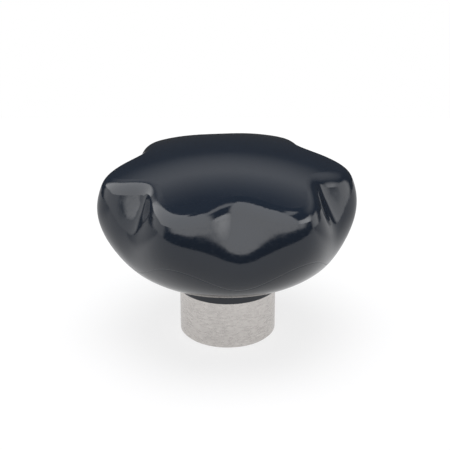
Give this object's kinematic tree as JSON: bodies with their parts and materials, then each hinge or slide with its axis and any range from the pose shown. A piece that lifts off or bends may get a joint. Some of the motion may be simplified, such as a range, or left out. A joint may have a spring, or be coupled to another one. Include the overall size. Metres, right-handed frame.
{
  "type": "hand knob",
  "caption": "Lobed hand knob with a domed glossy moulded head on a plain round steel bushing with a threaded blind hole, for clamping by hand.",
  "frame": {"origin": "centre of the bushing's end face, which the knob stands on", "axes": "+Z along the bushing's axis towards the dome; the first lobe lies 6 degrees from +X towards +Y; the picture looks along +Y"},
  "size_m": [0.048, 0.0454, 0.0356],
  "materials": {
    "moulding": "glossy blue-black moulding",
    "bushing": "fine turned stainless steel"
  },
  "bodies": {
    "root": {"knob_body": "moulding", "threaded_bushing": "bushing"}
  },
  "joints": []
}
